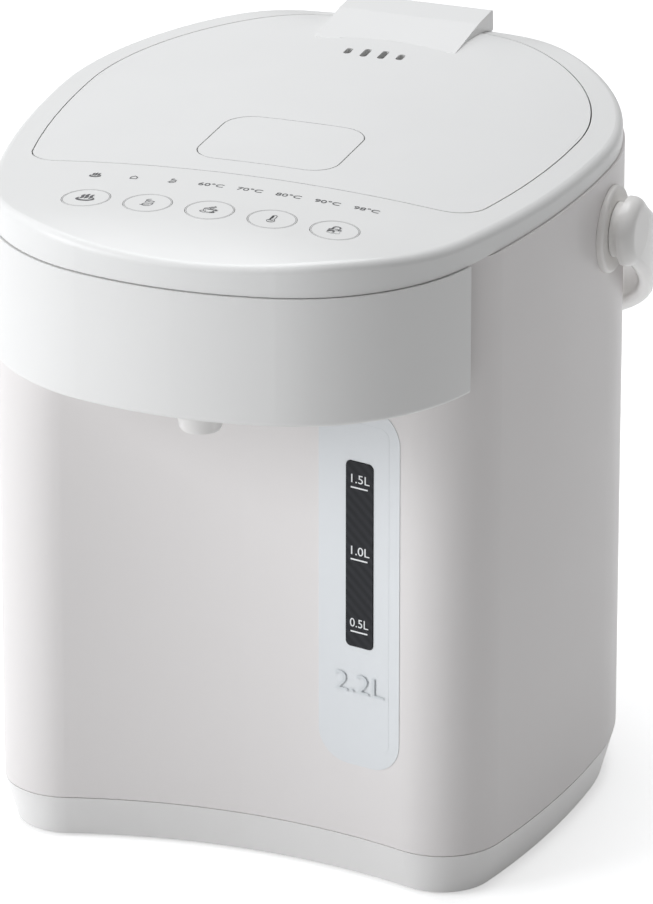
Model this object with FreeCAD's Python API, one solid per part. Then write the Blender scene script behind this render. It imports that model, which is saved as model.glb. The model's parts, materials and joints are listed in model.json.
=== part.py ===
# Electric thermo pot with a pumped spout, a hinged lid and a carrying bail.
# Millimetres. +X is the user's right, -Y is the spout side, +Z is up, z = 0 is the table.

import FreeCAD, Part
import math
import os

os.makedirs("parts", exist_ok=True)
V = FreeCAD.Vector

# Body plan, measured from the vertical axis of the water pot
body_width = 210.0
rear_depth = 102.0
front_depth = 95.0
side_draw = 11.9
side_run = 93.0
corner_radius = 23.8
front_hollow_radius = 216.0
wall = 1.8

# Heights of the main seams
foot_height = 1.2
base_top = 17.7
body_top = 244.0
cover_bottom = 197.0
crown_top = 259.3
crown_radius = 694.0
seam = 0.4

# Base
base_taper = 4.5
base_wall = 2.6
pan_thickness = 2.4
foot_radius = 9.0
foot_spread_x = 68.0
foot_front_y = -80.0
foot_rear_y = 50.0

# Spout housing and key deck
cover_reach = 162.6
cover_corner_radius = 73.0
cover_front_radius = 150.0
cover_back_y = -106.5
cover_wall = 2.2
lip_radius = 3.2
rim_step = 0.8
deck_roll_start = -128.0
deck_roll_radius = 107.0
rear_roll_start = 62.0
rear_roll_radius = 112.0
ring_skin = 2.6

# Lid
lid_margin = 12.0
lid_front_y = -88.0
lid_corner_radius = 14.0
lid_gap = 0.5
lid_skin = 2.4
well_floor_top = 238.0
well_floor = 2.4
well_wall = 2.2
slot_pitch = 6.7
slot_width = 2.6
slot_length = 8.5
slot_y = 44.5

# Lid hinge
hinge_y = 90.0
hinge_z = 255.2
hinge_pin_radius = 1.6
hood_width = 54.0
hood_top = 262.0
hood_rear_y = 98.5
liner_rear_y = 78.0
hood_wall = 2.0
lug_thickness = 5.0
lug_radius = 4.2

# Release plate and latch
plate_width = 52.0
plate_depth = 44.0
plate_rear_y = -31.0
plate_corner_radius = 10.0
plate_thickness = 2.4
plate_gap = 0.45
latch_width = 16.0
latch_height = 3.0
latch_nose = 2.2
latch_notch = 3.0
latch_z = 245.6
cam_y = -67.0
cam_half = 4.0
release_pin_radius = 1.2
duct_radius = 14.0
duct_bore = 3.4
ball_radius = 5.0

# Keys
key_count = 5
key_pitch = 22.85
key_radius = 8.5
key_gap = 0.25
key_row_y = -123.4
key_travel = 0.5
key_cap = 2.0
stem_radius = 2.4

# Water pot
pot_radius = 76.0
pot_wall = 0.8
pot_floor_z = 70.4
pot_rim_z = 234.2
pot_corner = 12.0
flange_reach = 6.0
mouth_radius = 70.0
shield_gap = 4.0
shield_wall = 0.8

# Pump under the pot
pump_x = -34.0
pump_y = -34.0
port_radius = 5.0
port_wall = 1.2
port_length = 9.0
chamber_radius = 21.0
chamber_height = 9.0
pump_wall = 2.0
pump_top_z = 50.0
impeller_radius = 17.0
blade_count = 6
coupling_gap = 1.0
magnet_radius = 11.0
magnet_height = 6.0
motor_radius = 14.0
motor_height = 15.0
shaft_radius = 1.5
running_fit = 0.05
hose_wall = 1.8

# Water gauge
gauge_x = 46.8
gauge_plate_width = 33.5
gauge_plate_low = 46.0
gauge_plate_high = 184.0
gauge_plate_radius = 12.0
gauge_plate_proud = 0.25
window_width = 11.4
window_low = 92.0
window_high = 163.0
window_radius = 2.0
tube_radius = 4.5
tube_wall = 1.0
tube_depth = 11.5
drain_radius = 4.2
outlet_shift = 16.8
outlet_run = 34.0
tube_low = 82.0
tube_high = 176.0
elbow_length = 10.0

# Spout
spout_y = -133.5
spout_tip_z = 182.5
spout_radius = 9.4
spout_tip_radius = 7.6
spout_bore = 4.6
spout_flange = 2.4
pipe_radius = 4.8
pipe_bore = 3.2
pipe_z = 221.0

# Handle
pivot_z = 221.6
pivot_radius = 4.0
flange_radius = 15.8
flange_thickness = 2.2
neck_radius = 10.0
neck_length = 3.6
boss_radius = 12.6
arm_thickness = 5.6
arm_width = 22.0
bail_reach = 149.0
bail_drop = 33.0
grip_depth = 10.0

# Electrical pieces
board_thickness = 1.6
board_z = 243.4
board_front_y = -141.0
board_back_y = -107.0
board_half = 56.0
power_board_z = 22.0
inlet_z = 36.0
inlet_width = 46.0
inlet_height = 20.0
inlet_depth = 12.0
screw_radius = 1.6
screw_head_radius = 3.0
clearance = 0.3


# Plan outlines: arcs that keep their centres when the outline is moved in by an inset
half_width = body_width / 2
side_radius = (side_run ** 2 + side_draw ** 2) / (2 * side_draw)
side_centre_x = half_width - side_radius
hollow_centre_y = -front_depth - front_hollow_radius
cover_front_centre_y = -cover_reach + cover_front_radius


def circle_meet(xa, ya, ra, xb, yb, rb):
    """The meeting point of two circles that lies to the right and further forward."""
    gap = math.hypot(xb - xa, yb - ya)
    along = (ra ** 2 - rb ** 2 + gap ** 2) / (2 * gap)
    off = math.sqrt(ra ** 2 - along ** 2)
    ux = (xb - xa) / gap
    uy = (yb - ya) / gap
    px = xa + along * ux
    py = ya + along * uy
    both = [(px - off * uy, py + off * ux), (px + off * uy, py - off * ux)]
    return min([p for p in both if p[0] > 0], key=lambda p: p[1])


def point_from(xa, ya, xb, yb, distance):
    """A point at a distance from a, on the line from a through b."""
    gap = math.hypot(xb - xa, yb - ya)
    return V(xa + (xb - xa) * distance / gap, ya + (yb - ya) * distance / gap, 0)


def arc(a, b, c):
    return Part.Arc(a, b, c).toShape()


def arc_about(cx, cy, start, end):
    """The short arc about a centre from one point to another."""
    mid = V((start.x + end.x) / 2, (start.y + end.y) / 2, 0)
    radius = math.hypot(start.x - cx, start.y - cy)
    return arc(start, point_from(cx, cy, mid.x, mid.y, radius), end)


def mirrored(edge):
    return edge.mirror(V(0, 0, 0), V(1, 0, 0))


def outline(rear, side_cut, front_edges):
    """Closes a plan from its rear half, its right side and its right front."""
    half = [side_cut] + front_edges
    edges = [rear] + half + [mirrored(edge) for edge in half]
    return Part.Wire(Part.__sortEdges__(edges))


def rear_curve(inset):
    """The rear half ellipse of the plan."""
    a = half_width - inset
    b = rear_depth - inset
    if a >= b:
        ellipse = Part.Ellipse(V(0, 0, 0), a, b)
        return Part.ArcOfEllipse(ellipse, 0, math.pi).toShape()
    ellipse = Part.Ellipse(V(0, b, 0), V(a, 0, 0), V(0, 0, 0))
    return Part.ArcOfEllipse(ellipse, -math.pi / 2, math.pi / 2).toShape()


def body_wire(inset=0.0):
    """Plan of the body: round rear, drawn-in sides, hollow front."""
    cx, cy = circle_meet(side_centre_x, 0, side_radius - corner_radius,
                         0, hollow_centre_y, front_hollow_radius + corner_radius)
    start = V(half_width - inset, 0, 0)
    side_end = point_from(side_centre_x, 0, cx, cy, side_radius - inset)
    front_start = point_from(0, hollow_centre_y, cx, cy, front_hollow_radius + inset)
    nose = V(0, -front_depth + inset, 0)
    side = arc_about(side_centre_x, 0, start, side_end)
    corner = arc_about(cx, cy, side_end, front_start)
    front = arc_about(0, hollow_centre_y, front_start, nose)
    return outline(rear_curve(inset), side, [corner, front])


def cover_wire(inset=0.0):
    """Plan of the rim and the spout housing: the same sides, a full round front."""
    cx, cy = circle_meet(side_centre_x, 0, side_radius - cover_corner_radius,
                         0, cover_front_centre_y, cover_front_radius - cover_corner_radius)
    start = V(half_width - inset, 0, 0)
    side_end = point_from(side_centre_x, 0, cx, cy, side_radius - inset)
    front_start = point_from(0, cover_front_centre_y, cx, cy, cover_front_radius - inset)
    nose = V(0, -cover_reach + inset, 0)
    side = arc_about(side_centre_x, 0, start, side_end)
    corner = arc_about(cx, cy, side_end, front_start)
    front = arc_about(0, cover_front_centre_y, front_start, nose)
    return outline(rear_curve(inset), side, [corner, front])


# Basic solids
def prism(wire, low, high):
    wire = wire.copy()
    wire.translate(V(0, 0, low))
    return Part.Face(wire).extrude(V(0, 0, high - low))


def box(x0, x1, y0, y1, z0, z1):
    return Part.makeBox(x1 - x0, y1 - y0, z1 - z0, V(x0, y0, z0))


def round_box(x0, x1, y0, y1, z0, z1, radius):
    """A box with its upright edges rounded."""
    block = box(x0, x1, y0, y1, z0, z1)
    upright = [e for e in block.Edges if abs(e.tangentAt(e.FirstParameter).z) > 0.99]
    return block.makeFillet(radius, upright)


def post(x, y, z0, z1, radius):
    return Part.makeCylinder(radius, z1 - z0, V(x, y, z0), V(0, 0, 1))


def tube(x, y, z0, z1, outer, inner):
    return post(x, y, z0, z1, outer).cut(post(x, y, z0 - 1, z1 + 1, inner))


def bar_x(x0, x1, y, z, radius):
    return Part.makeCylinder(radius, x1 - x0, V(x0, y, z), V(1, 0, 0))


def union(shapes):
    first = shapes[0]
    if len(shapes) == 1:
        return first
    return first.fuse(shapes[1:]).removeSplitter()


def revolved(points, x=0.0, y=0.0):
    """A solid of revolution about the vertical line through x, y, from radius and height pairs."""
    wire = Part.makePolygon([V(r, 0, z) for r, z in points + points[:1]])
    solid = Part.Face(wire).revolve(V(0, 0, 0), V(0, 0, 1), 360)
    solid.translate(V(x, y, 0))
    return solid


def hose(points, radii, radius, bore=0.0):
    """A pipe along straight runs joined by arcs."""
    edges = []
    last = points[0]
    for here, after, bend in zip(points[1:-1], points[2:], radii):
        inward = (here - last).normalize()
        onward = (after - here).normalize()
        turn = inward.getAngle(onward)
        cut = bend * math.tan(turn / 2)
        start = here - inward * cut
        end = here + onward * cut
        centre = here + (onward - inward).normalize() * (bend / math.cos(turn / 2))
        middle = centre + (here - centre).normalize() * bend
        if (start - last).Length > 1e-6:
            edges.append(Part.LineSegment(last, start).toShape())
        edges.append(arc(start, middle, end))
        last = end
    edges.append(Part.LineSegment(last, points[-1]).toShape())
    path = Part.Wire(edges)

    def swept(size):
        ring = Part.Wire(Part.makeCircle(size, points[0], points[1] - points[0]))
        return path.makePipeShell([ring], True, False)

    solid = swept(radius)
    return solid.cut(swept(bore)) if bore else solid


# The crowned top
def crown_z(x, y, drop=0.0):
    """Height of the crowned top: a wide arch across X that rolls down at the front and rear."""
    arch = crown_radius - math.sqrt(crown_radius ** 2 - x ** 2)
    past = max(0.0, deck_roll_start - y)
    radius = deck_roll_radius
    if y > rear_roll_start:
        past = y - rear_roll_start
        radius = rear_roll_radius
    roll = radius - math.sqrt(radius ** 2 - past ** 2)
    return crown_top - drop - (arch ** 2.5 + roll ** 2.5) ** 0.4


def crown_space(drop=0.0):
    """Everything under the crowned top, lowered by a drop."""
    grid = [[V(x, y, crown_z(x, y, drop)) for y in range(-185, 131, 15)] for x in range(-130, 131, 20)]
    surface = Part.BSplineSurface()
    surface.interpolate(grid)
    return surface.toShape().extrude(V(0, 0, -70))


def lid_wire(inset=0.0):
    """Plan of the lid: the rear and sides follow the rim, the front is nearly straight."""
    margin = lid_margin + inset
    a = half_width - margin
    b = rear_depth - margin
    front = lid_front_y + inset
    slope = side_radius - margin
    edge_x = side_centre_x + math.sqrt(slope ** 2 - front ** 2)
    side = arc_about(side_centre_x, 0, V(a, 0, 0), V(edge_x, front, 0))
    ellipse = Part.Ellipse(V(0, 0, 0), a, b)
    rear = Part.ArcOfEllipse(ellipse, 0, math.pi).toShape()
    bottom = Part.LineSegment(V(edge_x, front, 0), V(-edge_x, front, 0)).toShape()
    plan = Part.Face(Part.Wire(Part.__sortEdges__([rear, side, bottom, mirrored(side)])))
    block = plan.extrude(V(0, 0, 10))
    corners = []
    for edge in block.Edges:
        upright = abs(edge.tangentAt(edge.FirstParameter).z) > 0.99
        if upright and edge.Vertexes[0].Point.y < front + 1:
            corners.append(edge)
    block = block.makeFillet(lid_corner_radius - inset, corners)
    floor = min(block.Faces, key=lambda face: face.CenterOfMass.z)
    return floor.OuterWire


# Body shell
def body_shell():
    """Upright wall with its window, inlet, pipe and handle openings."""
    shell = prism(body_wire(), base_top, body_top).cut(
        prism(body_wire(wall), base_top - 1, body_top + 1))
    cuts = [gauge_hole(), inlet_block(clearance)]
    cuts.append(box(-16, 16, -front_depth - 8, -front_depth + 8, pipe_z - 8, pipe_z + 8))
    for side in (-1, 1):
        x = side * half_width
        cuts.append(bar_x(x - 8, x + 8, 0, pivot_z, pivot_radius + clearance))
    return shell.cut(cuts)


def base_block(inset, low, high):
    """The tapered base between two heights, as a loft of two plans."""
    span = base_top - foot_height

    def section(z):
        wire = body_wire(inset + base_taper * (base_top - z) / span)
        wire.translate(V(0, 0, z))
        return wire

    return Part.makeLoft([section(low), section(high)], True, True)


def base_ring():
    """Tapered skirt with a shelf that the wall stands on."""
    outer = base_block(0, foot_height, base_top - seam)
    inner = base_block(base_wall, foot_height - 0.5, base_top + 0.5)
    shelf = prism(body_wire(rim_step), base_top - pan_thickness, base_top).cut(
        prism(body_wire(wall + 6), base_top - 4, base_top + 1))
    return outer.cut(inner).fuse(shelf).removeSplitter()


def foot_places():
    return [(side * foot_spread_x, y) for y in (foot_front_y, foot_rear_y) for side in (-1, 1)]


def screw_places():
    return [(side * (foot_spread_x - 22), y) for y in (foot_front_y + 6, foot_rear_y + 4) for side in (-1, 1)]


def pan_low():
    return foot_height + 1.2


def base_pan():
    """Bottom cover with vent slots, foot sockets and screw bosses."""
    low = pan_low()
    high = low + pan_thickness
    inset = base_wall + clearance
    plate = base_block(inset, low, high)
    slots = []
    for row in range(7):
        x = (row - 3) * 9.0
        slots.append(round_box(x - 1.8, x + 1.8, 2, 28, low - 1, high + 1, 1.7))
    posts = [post(x, y, high, high + 11, 4.5) for x, y in screw_places()]
    stand = [post(pump_x + dx, pump_y + dy, high, bracket_z() - 1.2, 3.2) for dx, dy in bracket_legs()]
    stand += [post(x, y, high, shield_low(), 4.0) for x, y in shield_posts()]
    sockets = [post(x, y, low - 1, low + 1.0, foot_radius + 0.2) for x, y in foot_places()]
    holes = [post(x, y, low - 1, high + 9, screw_radius) for x, y in screw_places()]
    holes += [post(x, y, low - 1, low + 1.2, screw_head_radius + 0.3) for x, y in screw_places()]
    for dx, dy in bracket_legs():
        holes.append(post(pump_x + dx, pump_y + dy, bracket_z() - 12, bracket_z() + 1, screw_radius))
    return union([plate] + posts + stand + board_posts()).cut(slots + sockets + holes)


def rubber_feet():
    """Four domed pads, glued into the sockets of the bottom cover."""
    feet = []
    for x, y in foot_places():
        pad = post(x, y, 0, pan_low() + 1.0, foot_radius)
        rim = [e for e in pad.Edges if e.BoundBox.ZMax < 0.1]
        feet.append(pad.makeFillet(0.8, rim))
    return Part.makeCompound(feet)


def screw(x, y, head_z, length, up=1):
    """A pan-head screw whose head seats at a height and whose shank goes up or down."""
    head = Part.makeCylinder(screw_head_radius, 1.1, V(x, y, head_z), V(0, 0, -up))
    shank = Part.makeCylinder(screw_radius - 0.1, length, V(x, y, head_z), V(0, 0, up))
    return head.fuse(shank)


def base_screws():
    return Part.makeCompound([screw(x, y, pan_low() + 1.2, 8) for x, y in screw_places()])


# Top ring: rim, key deck and the well that the lid closes
def top_blank():
    outer = prism(cover_wire(rim_step), body_top + seam, crown_top + 4)
    block = outer.common(crown_space())
    edges = []
    for edge in block.Edges:
        centre = edge.BoundBox.Center
        flat = edge.BoundBox.ZLength < 0.01 and centre.z < body_top + seam + 0.1
        upright = abs(edge.tangentAt(edge.FirstParameter).z) > 0.99
        outer_edge = not (flat or upright) and on_rim(edge)
        if outer_edge:
            edges.append(edge)
    return block.makeFillet(lip_radius, edges)


def on_rim(edge):
    """Whether an edge lies on the upright outer wall of the rim."""
    middle = edge.valueAt((edge.FirstParameter + edge.LastParameter) / 2)
    flat = Part.Vertex(V(middle.x, middle.y, 0))
    return cover_wire(rim_step).distToShape(flat)[0] < 0.05


def top_ring():
    """Hollow moulding: outer rim, deck, well walls and a floor round the mouth of the pot."""
    low = body_top + seam
    floor_low = well_floor_top - well_floor
    well = prism(lid_wire(-well_wall), floor_low - 1, crown_top + 10)
    hollow = prism(cover_wire(rim_step + ring_skin), low - 1, crown_top + 4)
    hollow = hollow.common(crown_space(ring_skin)).cut(well)
    well_block = prism(lid_wire(-well_wall), floor_low, low + 1)
    inner = wall + clearance
    skirt = prism(body_wire(inner), body_top - 6, low + 1).cut(prism(body_wire(inner + 1.6), body_top - 7, low + 2))
    seat = prism(body_wire(1.0), body_top, low + 1.4).cut(prism(body_wire(inner + 1.6), body_top - 7, low + 2))
    ring = top_blank().cut(hollow).fuse([well_block, skirt, seat])
    pocket = prism(lid_wire(0), well_floor_top, crown_top + 20)
    mouth = post(0, 0, well_floor_top - 5, well_floor_top + 5, mouth_radius)
    cuts = [pocket, mouth, hood_notch(), latch_pocket()]
    cuts += [post(x, key_row_y, body_top, crown_top + 5, key_radius + key_gap) for x in key_xs()]
    return union([ring.cut(cuts)] + hinge_lugs() + deck_posts())


def latch_pocket():
    """The slot in the front wall of the well that the latch nose enters."""
    half = latch_width / 2 + clearance
    y = lid_front_y
    return box(-half, half, y - well_wall - 2, y + 1, latch_z - clearance, latch_z + latch_height + clearance)


def hood_notch():
    """The gap in the rear of the rim that the hinge hood of the lid fills."""
    half = hood_width / 2 + lid_gap
    return box(-half, half, hinge_y - 16, rear_depth + 20, body_top + 1.6, crown_top + 20)


def lug_xs():
    """Inner and outer faces of the two hinge lugs."""
    outer = hood_width / 2 - hood_wall - clearance
    return outer - lug_thickness, outer


def hinge_lugs():
    """Two lugs on the rim that hold the hinge pin."""
    inner, outer = lug_xs()
    lugs = []
    for side in (-1, 1):
        x0, x1 = sorted((side * inner, side * outer))
        eye = bar_x(x0, x1, hinge_y, hinge_z, lug_radius)
        web = box(x0, x1, hinge_y - 9, hinge_y - 1.5, well_floor_top, hinge_z)
        lugs.append(eye.fuse(web).cut(bar_x(x0 - 1, x1 + 1, hinge_y, hinge_z, hinge_pin_radius)))
    return lugs


def lid_hinge_pin():
    inner, outer = lug_xs()
    return bar_x(-outer, outer, hinge_y, hinge_z, hinge_pin_radius)


def key_xs():
    return [(i - (key_count - 1) / 2) * key_pitch for i in range(key_count)]


def key_cap_at(x):
    """A round key with a crowned face flush with the deck, and a stem to its switch."""
    under = crown_z(x, key_row_y) - key_cap
    cap = post(x, key_row_y, under, crown_top + 5, key_radius).common(crown_space())
    stem = post(x, key_row_y, switch_top() + key_travel, under + 0.5, stem_radius)
    collar = post(x, key_row_y, under - 1.4, under, key_radius - 1.2)
    return union([cap, collar, stem])


def switch_top():
    return board_z + board_thickness + 4.2


# Front cover
def front_cover():
    """Spout housing: a round-fronted shell with a floor, open to the body and to the deck."""
    front = box(-300, 300, -300, cover_back_y, cover_bottom, body_top)
    high = body_top
    outer = prism(cover_wire(), cover_bottom, high).common(front)
    inner = prism(cover_wire(cover_wall), cover_bottom + cover_wall, high + 1)
    body = prism(body_wire(-clearance), cover_bottom - 1, high + 1)
    edge = [e for e in outer.Edges if e.BoundBox.ZMax < cover_bottom + 0.01 and e.BoundBox.YMin < cover_back_y - 5]
    outer = outer.makeFillet(1.6, edge)
    hole = post(0, spout_y, cover_bottom - 1, cover_bottom + cover_wall + 1, spout_radius + clearance)
    return outer.cut([inner, body, hole])


def spout_nozzle():
    """Tapered outlet with a flange that rests on the floor of the front cover."""
    floor_top = cover_bottom + cover_wall
    points = [(spout_bore, spout_tip_z + 1.2), (spout_tip_radius - 0.6, spout_tip_z),
              (spout_tip_radius, spout_tip_z + 1.0), (spout_radius, cover_bottom - 1.5),
              (spout_radius, floor_top), (spout_radius + spout_flange, floor_top),
              (spout_radius + spout_flange, floor_top + 1.6), (pipe_bore, floor_top + 1.6),
              (pipe_bore, floor_top + 9), (pipe_bore - 1.1, floor_top + 9),
              (pipe_bore - 1.1, floor_top), (spout_bore, floor_top - 2)]
    return revolved(points, 0, spout_y)


# Water pot and heating
def inner_pot():
    """Stainless pot: rounded floor, rolled flange and an outlet in the floor."""
    outer = pot_radius + pot_wall
    blank = revolved([(0, pot_floor_z - pot_wall), (outer, pot_floor_z - pot_wall),
                      (outer, pot_rim_z - pot_wall), (outer + flange_reach, pot_rim_z - pot_wall),
                      (outer + flange_reach, pot_rim_z), (0, pot_rim_z)])
    low = [e for e in blank.Edges if abs(e.BoundBox.ZMax - pot_floor_z + pot_wall) < 0.01]
    blank = blank.makeFillet(pot_corner, [e for e in low if e.BoundBox.XLength > pot_radius])
    hollow = post(0, 0, pot_floor_z, pot_rim_z + 5, pot_radius)
    rim = [e for e in hollow.Edges if e.BoundBox.ZMax < pot_floor_z + 0.01]
    hollow = hollow.makeFillet(pot_corner - pot_wall, rim)
    spigot = tube(pump_x, pump_y, pot_floor_z - port_length, pot_floor_z - pot_wall / 2, port_radius, port_radius - port_wall)
    drain = post(pump_x, pump_y, pot_floor_z - 5, pot_floor_z + 1, port_radius - port_wall)
    return union([blank.cut(hollow).cut(drain), spigot])


def pot_seal():
    """Silicone ring clamped between the flange of the pot and the floor of the well."""
    outer = pot_radius + pot_wall + flange_reach
    floor_low = well_floor_top - well_floor
    return tube(0, 0, pot_rim_z, floor_low, outer - 1, mouth_radius + 1)


def heat_shield():
    """Sheet-metal can round the pot, open at the top, with a turned-in foot ring."""
    inner = pot_radius + pot_wall + shield_gap
    outer = inner + shield_wall
    low = shield_low()
    high = pot_rim_z - pot_wall - 2
    can = revolved([(inner - 12, low), (outer, low), (outer, high), (inner, high),
                    (inner, low + shield_wall), (inner - 12, low + shield_wall)])
    return can


def shield_low():
    return plate_low() - 1.0 - shield_wall


def shield_posts():
    """Places of the posts that carry the shield, clear of the pump, its hose and the power board."""
    angles = [math.radians(a) for a in (15, 150, 210, 300)]
    return [(75 * math.cos(a), 75 * math.sin(a)) for a in angles]


def plate_low():
    return pot_floor_z - pot_wall - 6.0


def heater_plate():
    """Cast heating plate pressed to the floor of the pot, with a buried ring element."""
    top = pot_floor_z - pot_wall
    disc = post(0, 0, top - 4.0, top, pot_radius - pot_corner - 2)
    ring = tube(0, 0, plate_low(), top - 3.5, 52, 45)
    passage = post(pump_x, pump_y, top - 8, top + 1, port_radius + 2)
    recess = post(0, 0, top - 5, top - 2.5, 14)
    return union([disc, ring]).cut([passage, recess])


def heater_support():
    """Spider that carries the heating plate on the foot ring of the shield."""
    top = pot_floor_z - pot_wall - 4.0
    low = plate_low() - 1.0
    arms = []
    reach = pot_radius + pot_wall + shield_gap - 1
    for angle in (90, 210, 330):
        arm = box(57.5, reach, -6, 6, low, low + 1.0)
        riser = box(57.5, 58.7, -6, 6, low, top)
        arms.append(arm.fuse(riser).rotate(V(0, 0, 0), V(0, 0, 1), angle))
    ring = tube(0, 0, top - 1.2, top, 60.0, 57.0)
    return union(arms + [ring])


def band_heater():
    """Keep-warm band clamped round the lower wall of the pot."""
    inner = pot_radius + pot_wall + 0.2
    low = pot_floor_z + 16
    band = tube(0, 0, low, low + 26, inner + 1.6, inner)
    gap = box(-4, 4, inner - 5, inner + 8, low - 1, low + 27)
    ears = [box(x, x + 1.2, inner, inner + 3.2, low + 8, low + 18) for x in (-5.2, 4.0)]
    return union([band.cut(gap)] + ears)


def thermostat():
    """Snap-action thermostat in the recess of the heating plate."""
    top = pot_floor_z - pot_wall - 2.5
    body = post(0, 0, top - 7, top, 8)
    rim = post(0, 0, top - 3, top - 1.4, 12)
    tabs = [box(x - 2.4, x + 2.4, -0.4, 0.4, top - 14, top - 6) for x in (-5, 5)]
    return union([body, rim] + tabs)


def thermistor():
    """Probe capsule clipped to the wall of the pot above the band."""
    x = pot_radius + pot_wall
    z = pot_floor_z + 52
    body = Part.makeCylinder(1.6, 12, V(x + 1.9, 0, z), V(0, 0, 1))
    clip = box(x + 0.3, x + 1.5, -5, 5, z + 3, z + 9)
    return union([body, clip.common(post(0, 0, z, z + 20, x + 3))])


# Pump
def chamber_low():
    return pump_top_z - pump_wall - chamber_height


def pump_outlet_z():
    return chamber_low() + chamber_height / 2


def pump_housing():
    """Pump chamber with its inlet on top and its outlet off the side."""
    x, y = pump_x, pump_y
    low = chamber_low()
    top = pump_top_z
    shell = post(x, y, low, top, chamber_radius + pump_wall)
    inlet = post(x, y, top - 1, top + port_length, port_radius)
    z = pump_outlet_z()
    out = Part.makeCylinder(drain_radius, outlet_run, V(x + outlet_shift, y, z), V(0, -1, 0))
    ears = [post(x + dx, y + dy, low, low + 3, 4.5) for dx, dy in bracket_legs()]
    webs = []
    for dx, dy in bracket_legs():
        length = math.hypot(dx, dy)
        web = box(0, length, -2.5, 2.5, low, low + 3)
        web.rotate(V(0, 0, 0), V(0, 0, 1), math.degrees(math.atan2(dy, dx)))
        web.translate(V(x, y, 0))
        webs.append(web)
    body = union([shell, inlet, out] + ears + webs)
    cavity = post(x, y, low - 1, top - pump_wall, chamber_radius)
    way_in = post(x, y, top - pump_wall - 1, top + port_length + 1, port_radius - port_wall)
    way_out = Part.makeCylinder(drain_radius - 1.4, outlet_run + 6, V(x + outlet_shift, y, z), V(0, -1, 0))
    holes = [post(x + dx, y + dy, low - 1, low + 4, screw_radius) for dx, dy in bracket_legs()]
    return body.cut([cavity, way_in, way_out] + holes)


def bracket_legs():
    reach = chamber_radius + pump_wall + 4
    return [(reach * math.cos(a), reach * math.sin(a)) for a in (math.radians(d) for d in (70, 160, 250, 340))]


def bracket_z():
    return chamber_low() - 2.0


def pump_cover():
    """Floor of the pump chamber with a thin cup that the magnets turn round."""
    x, y = pump_x, pump_y
    low = chamber_low()
    plate = post(x, y, low - 2.0, low, chamber_radius + pump_wall)
    ears = [post(x + dx, y + dy, low - 2.0, low, 4.5) for dx, dy in bracket_legs()]
    webs = []
    for dx, dy in bracket_legs():
        length = math.hypot(dx, dy)
        web = box(0, length, -2.5, 2.5, low - 2.0, low)
        web.rotate(V(0, 0, 0), V(0, 0, 1), math.degrees(math.atan2(dy, dx)))
        web.translate(V(x, y, 0))
        webs.append(web)
    spindle = post(x, y, low - 1, low + chamber_height - 1.5, shaft_radius)
    holes = [post(x + dx, y + dy, low - 3, low + 1, screw_radius) for dx, dy in bracket_legs()]
    return union([plate, spindle] + ears + webs).cut(holes)


def pump_screws():
    """Screws down through the ears of the pump into the posts of the bottom cover."""
    seat = chamber_low() + 3
    return Part.makeCompound([screw(pump_x + dx, pump_y + dy, seat, 14, -1) for dx, dy in bracket_legs()])


def impeller():
    """Six curved blades on a disc that turns on the spindle."""
    x, y = pump_x, pump_y
    low = chamber_low() + coupling_gap
    disc = post(0, 0, low, low + 2.6, impeller_radius)
    hub = post(0, 0, low, low + chamber_height - 3.0, shaft_radius + 2)
    blades = []
    for i in range(blade_count):
        ring = tube(0, impeller_radius * 0.55, low + 2, low + chamber_height - 3.5,
                    impeller_radius * 0.62, impeller_radius * 0.62 - 1.2)
        blade = ring.common(box(0, 40, -40, 40, low, low + 20)).common(post(0, 0, low, low + 20, impeller_radius))
        blade = blade.cut(box(-40, 40, impeller_radius * 0.55, 60, low, low + 20))
        blades.append(blade.rotate(V(0, 0, 0), V(0, 0, 1), 360 * i / blade_count))
    bore = post(0, 0, low - 1, low + 20, shaft_radius + running_fit)
    wheel = union([disc, hub] + blades).cut(bore)
    wheel.translate(V(x, y, 0))
    return wheel


def motor_top():
    return chamber_low() - 2.0 - coupling_gap - magnet_height - 2.4


def motor_rotor():
    """Motor shaft with the driving magnet cup on its end."""
    x, y = pump_x, pump_y
    top = motor_top()
    cup_low = top + 1.4
    shaft = post(x, y, top - motor_height + 2, cup_low + 1, shaft_radius)
    cup = post(x, y, cup_low, cup_low + magnet_height + 1, magnet_radius)
    return union([shaft, cup])


def motor():
    """Motor can with its bearing bore; it hangs in the pump bracket."""
    x, y = pump_x, pump_y
    top = motor_top()
    can = post(x, y, top - motor_height, top, motor_radius)
    boss = post(x, y, top - 1, top + 0.8, 4)
    tabs = [box(x + dx - 1, x + dx + 1, y - 0.4, y + 0.4, top - motor_height - 5, top - motor_height + 1) for dx in (-8, 8)]
    bore = post(x, y, top - motor_height + 1.5, top + 2, shaft_radius + running_fit)
    return union([can, boss] + tabs).cut(bore)


def pump_bracket():
    """Cup that holds the motor under the pump and stands on the posts of the bottom cover."""
    x, y = pump_x, pump_y
    high = chamber_low() - 2.0
    top = motor_top()
    inner = motor_radius + 0.1
    sleeve = tube(x, y, top - 9, high - 1.2, inner + 1.4, inner)
    lip = tube(x, y, top, top + 1.2, inner + 0.5, magnet_radius + 1.0)
    plate = tube(x, y, high - 1.2, high, chamber_radius + pump_wall, inner)
    ears = [post(x + dx, y + dy, high - 1.2, high, 4.5) for dx, dy in bracket_legs()]
    webs = []
    for dx, dy in bracket_legs():
        length = math.hypot(dx, dy)
        web = box(inner + 1, length, -2.5, 2.5, high - 1.2, high)
        web.rotate(V(0, 0, 0), V(0, 0, 1), math.degrees(math.atan2(dy, dx)))
        web.translate(V(x, y, 0))
        webs.append(web)
    holes = [post(x + dx, y + dy, high - 3, high + 1, screw_radius) for dx, dy in bracket_legs()]
    return union([sleeve, lip, plate] + ears + webs).cut(holes)


def suction_hose():
    """Short silicone sleeve from the outlet of the pot to the inlet of the pump."""
    low = pump_top_z + 0.3
    high = pot_floor_z - pot_wall - 4.5
    return tube(pump_x, pump_y, low, high, port_radius + hose_wall, port_radius)


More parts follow.
